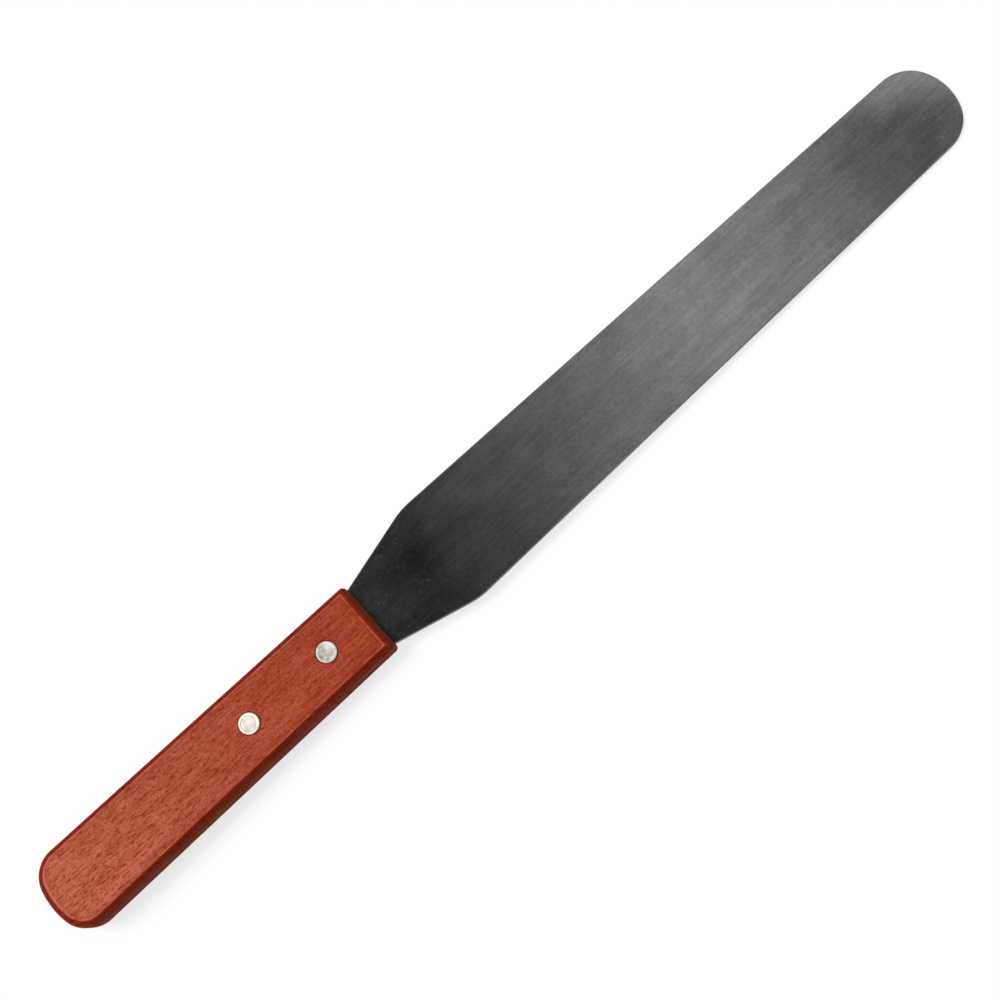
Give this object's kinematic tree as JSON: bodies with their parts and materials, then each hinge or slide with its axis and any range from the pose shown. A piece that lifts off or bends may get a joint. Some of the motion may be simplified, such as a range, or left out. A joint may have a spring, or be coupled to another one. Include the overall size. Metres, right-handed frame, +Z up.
{
  "type": "icing smoother",
  "caption": "Straight icing smoother: a thin, slightly tapering, round-tipped steel blade with flared shoulders, riveted between the halves of a stained wooden handle.",
  "frame": {"origin": "centre of the tool's box in plan, on the surface that it lies on, level with the lower rivet heads", "axes": "+X along the tool from the handle's butt to the blade's tip, +Y across the blade, +Z up through the handle's thickness"},
  "size_m": [0.3144, 0.0316, 0.0099],
  "materials": {
    "blade_steel": "satin, brushed along the blade",
    "handle_wood": "reddish stain under satin lacquer",
    "rivet_metal": "turned and lightly brushed"
  },
  "bodies": {
    "root": {"blade": "blade_steel", "upper_scale": "handle_wood", "lower_scale": "handle_wood", "front_rivet_post": "rivet_metal", "front_rivet_socket": "rivet_metal", "rear_rivet_post": "rivet_metal", "rear_rivet_socket": "rivet_metal"}
  },
  "joints": []
}
